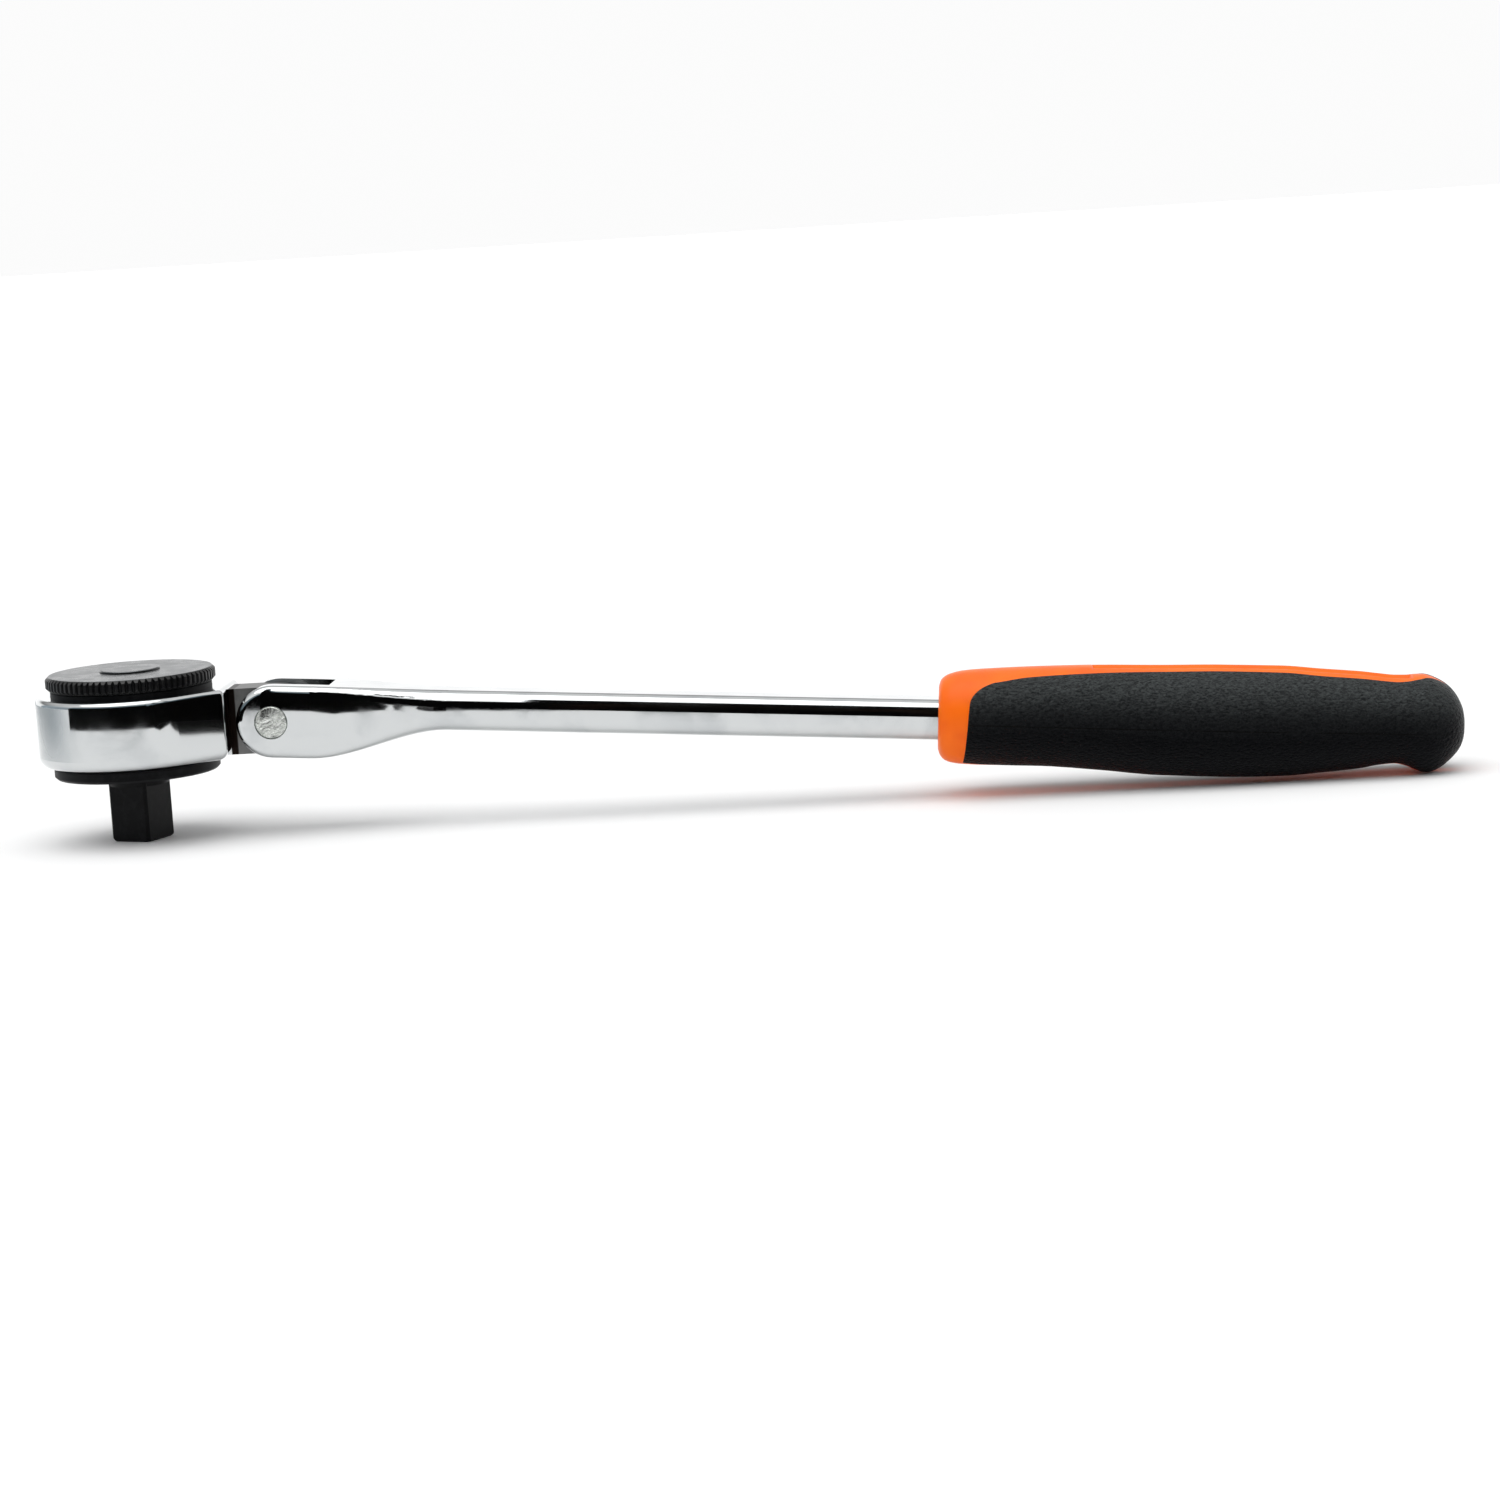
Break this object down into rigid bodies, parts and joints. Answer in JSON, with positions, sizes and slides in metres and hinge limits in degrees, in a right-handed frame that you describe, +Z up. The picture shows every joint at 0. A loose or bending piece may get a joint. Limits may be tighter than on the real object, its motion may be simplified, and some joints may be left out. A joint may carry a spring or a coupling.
{
  "type": "ratchet wrench",
  "caption": "Flex-head reversible ratchet wrench with a square drive tang, a knurled reversing dial, a push-button release and a two-colour moulded grip.",
  "frame": {"origin": "middle of the drive tang's tip, on the surface that the wrench stands on", "axes": "+Z up the drive axis, from the tang's tip to the dial; +X from the head towards the handle; Y = 0 is the plane that the handle swings in"},
  "size_m": [0.2948, 0.04, 0.036],
  "materials": {
    "chrome_steel": "mirror-polished chrome plate",
    "black_oxide_steel": "satin black oxide",
    "black_dial_metal": "satin black, straight knurled rim",
    "bright_steel": "bright turned and peened steel",
    "hardened_steel": "grey hardened steel",
    "spring_steel": "oiled spring wire",
    "seal_rubber": "matt black nitrile",
    "orange_plastic": "satin orange moulding",
    "black_rubber": "grained soft black moulding"
  },
  "bodies": {
    "head": {"ratchet_head": "chrome_steel"},
    "drive": {"drive_body": "black_oxide_steel", "cover_plate": "black_oxide_steel", "cover_screws": "hardened_steel", "top_seal": "seal_rubber", "bottom_seal": "seal_rubber", "pawl_pin": "bright_steel"},
    "dial": {"reversing_dial": "black_dial_metal", "dial_retaining_ring": "spring_steel", "plunger_spring": "spring_steel", "release_spring": "spring_steel"},
    "pawl": {"pawl": "hardened_steel"},
    "pawl_plunger": {"pawl_plunger": "hardened_steel"},
    "button": {"release_button": "black_dial_metal", "release_spindle": "hardened_steel", "spindle_clip": "spring_steel"},
    "ball": {"detent_ball": "bright_steel"},
    "handle": {"handle_shaft": "chrome_steel", "hinge_pin": "bright_steel", "grip_core": "orange_plastic", "grip_panel_left": "black_rubber", "grip_panel_right": "black_rubber", "flex_spring": "spring_steel"},
    "flex_plunger": {"flex_plunger": "hardened_steel"}
  },
  "joints": [
    {"name": "flex", "type": "hinge", "parent": "head", "child": "handle", "pos_m": [0.0303, 0, 0.02405], "axis": [0, -1, 0], "range_deg": [-85.73, 94.27]},
    {"name": "drive_spin", "type": "hinge", "parent": "head", "child": "drive", "pos_m": [0, 0, 0.02], "axis": [0, 0, 1], "continuous": true},
    {"name": "dial_turn", "type": "hinge", "parent": "drive", "child": "dial", "pos_m": [0, 0, 0.033], "axis": [0, 0, -1], "range_deg": [0, 36]},
    {"name": "pawl_rock", "type": "hinge", "parent": "drive", "child": "pawl", "pos_m": [0, 0.01348, 0.024], "axis": [0, 0, 1], "range_deg": [0, 7]},
    {"name": "pawl_plunger_slide", "type": "slide", "parent": "dial", "child": "pawl_plunger", "axis": [-0.309, 0.9511, 0], "range_m": [-0.0006, 0], "stiffness_N_per_m": 1500, "springref_m": 0.0005, "deforming": ["plunger_spring"]},
    {"name": "button_press", "type": "slide", "parent": "dial", "child": "button", "axis": [0, 0, 1], "range_m": [-0.002, 0], "stiffness_N_per_m": 1500, "springref_m": 0.001, "deforming": ["release_spring"]},
    {"name": "ball_retract", "type": "slide", "parent": "drive", "child": "ball", "axis": [-0.9135, 0.4067, 0], "range_m": [-0.00085, 0]},
    {"name": "flex_plunger_slide", "type": "slide", "parent": "handle", "child": "flex_plunger", "axis": [-0.9972, 0, 0.0744], "range_m": [-0.0005, 0], "stiffness_N_per_m": 4000, "springref_m": 0.0005, "deforming": ["flex_spring"]}
  ],
  "couplings": [
    {"joint": "pawl_rock", "follows": "dial_turn", "ratio": 0.19444},
    {"joint": "ball_retract", "follows": "button_press", "ratio": 0.425}
  ]
}
